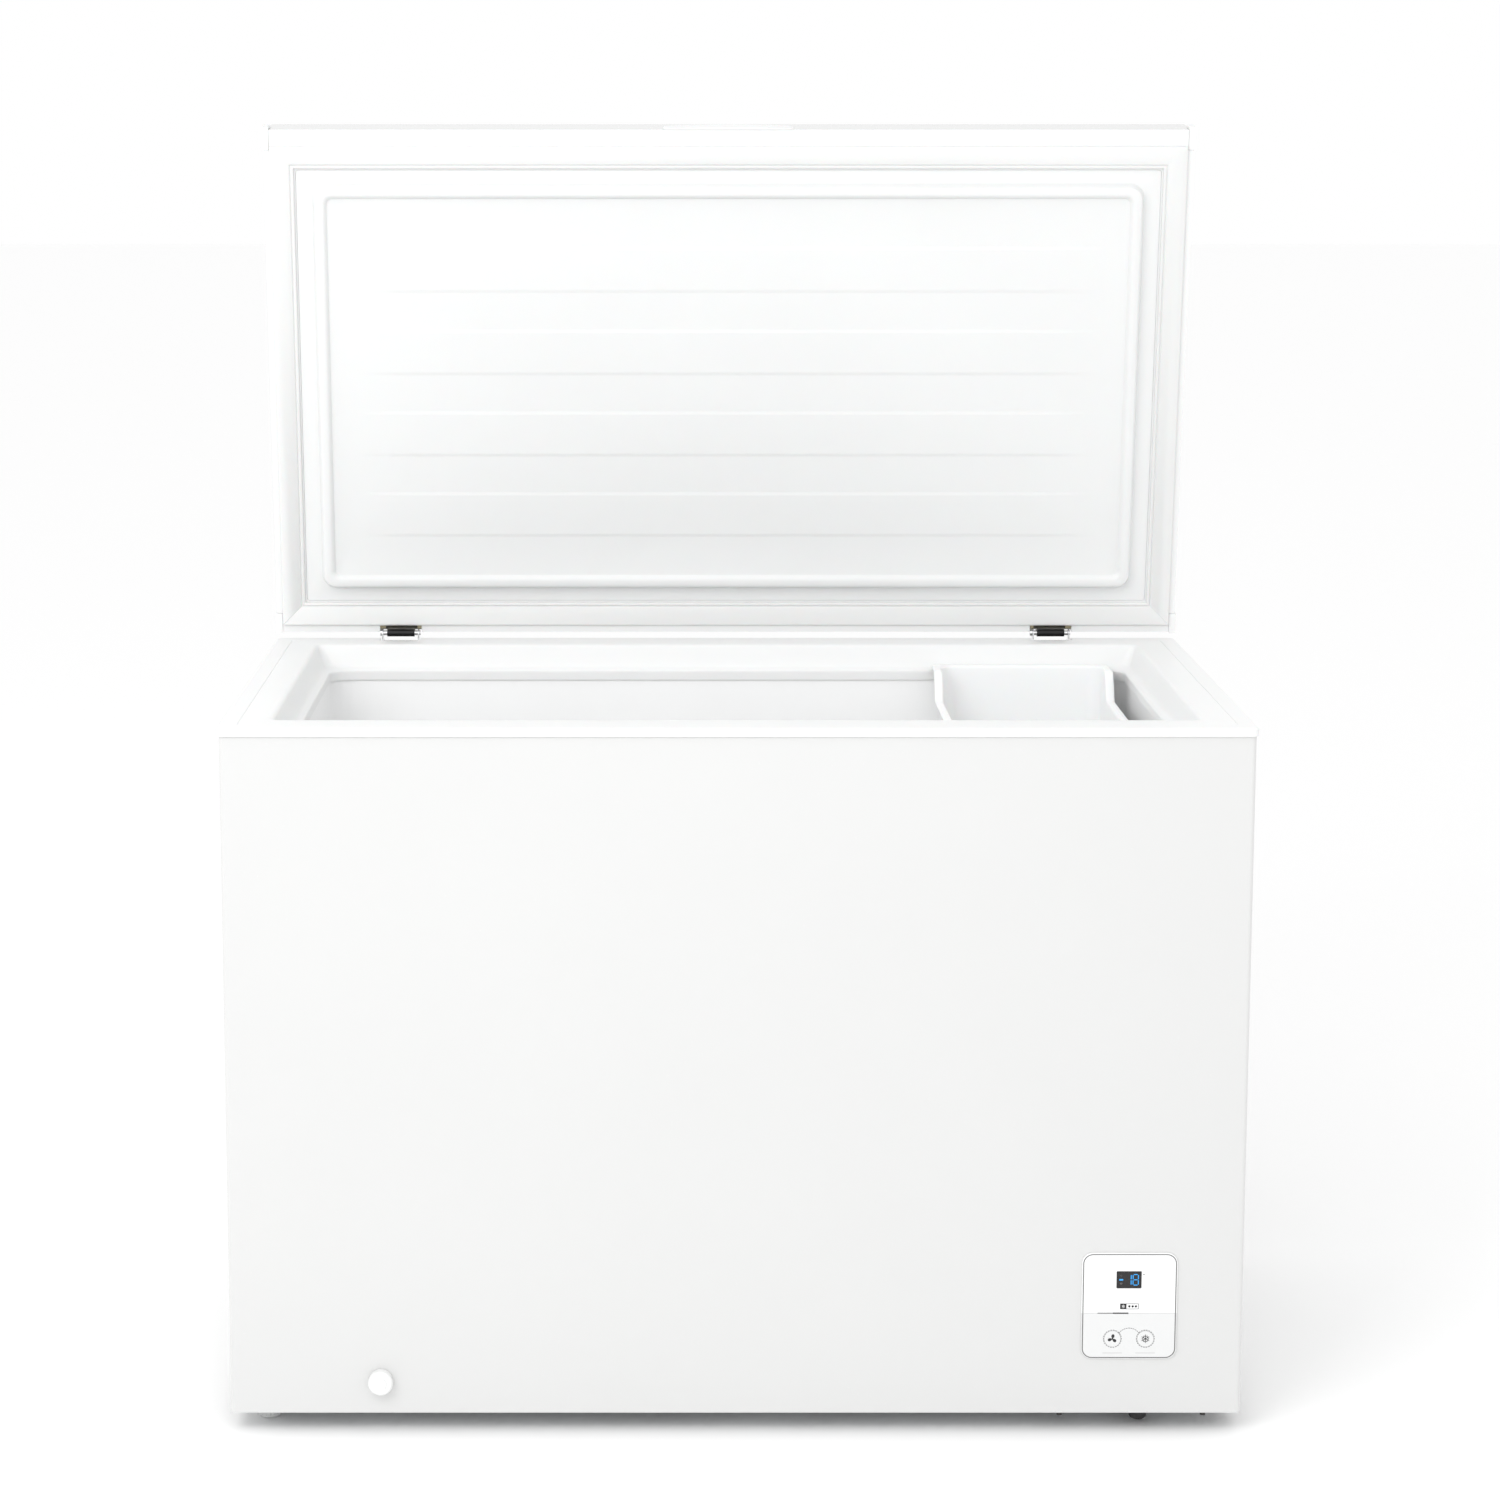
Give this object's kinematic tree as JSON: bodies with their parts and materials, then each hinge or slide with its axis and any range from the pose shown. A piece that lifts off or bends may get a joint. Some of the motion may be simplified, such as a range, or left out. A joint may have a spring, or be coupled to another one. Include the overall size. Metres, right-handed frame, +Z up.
{
  "type": "chest freezer",
  "caption": "White chest freezer with a hinged insulated lid, stepped tank, hanging basket, front display panel, drain cap and levelling feet.",
  "frame": {"origin": "on the floor, under the middle of the freezer's box with its lid open", "axes": "+Z up, +X to the user's right, the front faces -Y"},
  "size_m": [1.124, 0.6925, 1.4267],
  "materials": {
    "painted_steel": "gloss, fine orange peel",
    "galvanised_steel": "galvanised, matt",
    "foam": "rigid foam",
    "tank_sheet": "satin",
    "white_plastic": "satin moulded",
    "gasket_white": "soft matt",
    "aluminium_tube": "drawn",
    "copper": "copper tube",
    "grey_plastic": "satin",
    "fascia_plastic": "gloss film",
    "display_black": "gloss smoked",
    "black_plastic": "satin moulded",
    "board_green": "solder mask",
    "zinc_fastener": "zinc plated",
    "black_rubber": "matt",
    "compressor_black": "semi-gloss",
    "hinge_steel": "bright plated"
  },
  "bodies": {
    "cabinet": {"wrapper_panel": "painted_steel", "rear_panel": "galvanised_steel", "base_panel": "galvanised_steel", "machine_room_step": "galvanised_steel", "cabinet_foam": "foam", "tank_liner": "tank_sheet", "throat_frame": "white_plastic", "top_trim": "white_plastic", "evaporator_coil": "aluminium_tube", "condenser_coil": "aluminium_tube", "drain_tube": "grey_plastic", "drain_bezel": "grey_plastic", "control_fascia": "fascia_plastic", "control_box": "black_plastic", "display_window": "display_black", "control_board": "board_green", "compressor_tray": "galvanised_steel", "tray_bolts": "zinc_fastener", "tray_buffer": "black_rubber", "compressor_shell": "compressor_black", "compressor_bracket": "compressor_black", "compressor_grommets": "black_rubber", "compressor_bolts": "zinc_fastener", "relay_cover": "black_plastic", "suction_pipe": "copper", "discharge_pipe": "copper", "filter_drier": "copper", "rear_grille": "black_plastic", "rear_grille_screws": "zinc_fastener", "side_grille": "white_plastic", "cable_gland": "black_plastic", "hinge_housing_left": "hinge_steel", "hinge_housing_right": "hinge_steel", "hinge_pin_left": "hinge_steel", "hinge_pin_right": "hinge_steel", "hinge_spring_left": "hinge_steel", "hinge_spring_right": "hinge_steel", "hinge_housing_screws": "zinc_fastener", "foot_sockets": "grey_plastic"},
    "lid": {"lid_shell": "painted_steel", "lid_foam": "foam", "lid_frame": "white_plastic", "lid_corner_caps": "white_plastic", "lid_liner": "white_plastic", "lid_gasket": "gasket_white", "lid_handle": "white_plastic", "handle_screws": "zinc_fastener", "hinge_arm_left": "hinge_steel", "hinge_arm_right": "hinge_steel", "hinge_arm_screws": "zinc_fastener"},
    "basket": {"storage_basket": "white_plastic"},
    "drain_cap": {"drain_cap": "grey_plastic"},
    "tank_drain_plug": {"tank_drain_plug": "grey_plastic"},
    "fridge_key": {"fridge_key": "fascia_plastic"},
    "freezer_key": {"freezer_key": "fascia_plastic"},
    "foot_front_left": {"foot_front_left": "grey_plastic"},
    "foot_front_right": {"foot_front_right": "grey_plastic"},
    "foot_rear_left": {"foot_rear_left": "grey_plastic"},
    "foot_rear_right": {"foot_rear_right": "grey_plastic"}
  },
  "joints": [
    {"name": "lid_hinge", "type": "hinge", "parent": "cabinet", "child": "lid", "pos_m": [0, 0.2935, 0.796], "axis": [1, 0, 0], "range_deg": [0, 82.5], "stiffness_Nm_per_rad": 18},
    {"name": "basket_slide", "type": "slide", "parent": "cabinet", "child": "basket", "axis": [1, 0, 0], "range_m": [-0.72, 0.012]},
    {"name": "drain_cap_pull", "type": "slide", "parent": "cabinet", "child": "drain_cap", "axis": [0, -1, 0], "range_m": [0, 0.025]},
    {"name": "drain_plug_lift", "type": "slide", "parent": "cabinet", "child": "tank_drain_plug", "axis": [0, 0, 1], "range_m": [0, 0.03]},
    {"name": "fridge_key_press", "type": "slide", "parent": "cabinet", "child": "fridge_key", "axis": [0, 1, 0], "range_m": [0, 0.0005], "stiffness_N_per_m": 800},
    {"name": "freezer_key_press", "type": "slide", "parent": "cabinet", "child": "freezer_key", "axis": [0, 1, 0], "range_m": [0, 0.0005], "stiffness_N_per_m": 800},
    {"name": "foot_front_left_turn", "type": "hinge", "parent": "cabinet", "child": "foot_front_left", "pos_m": [-0.52, -0.28, 0], "axis": [0, 0, 1], "continuous": true},
    {"name": "foot_front_right_turn", "type": "hinge", "parent": "cabinet", "child": "foot_front_right", "pos_m": [0.52, -0.186, 0], "axis": [0, 0, 1], "continuous": true},
    {"name": "foot_rear_left_turn", "type": "hinge", "parent": "cabinet", "child": "foot_rear_left", "pos_m": [-0.52, 0.236, 0], "axis": [0, 0, 1], "continuous": true},
    {"name": "foot_rear_right_turn", "type": "hinge", "parent": "cabinet", "child": "foot_rear_right", "pos_m": [0.52, 0.236, 0], "axis": [0, 0, 1], "continuous": true}
  ]
}
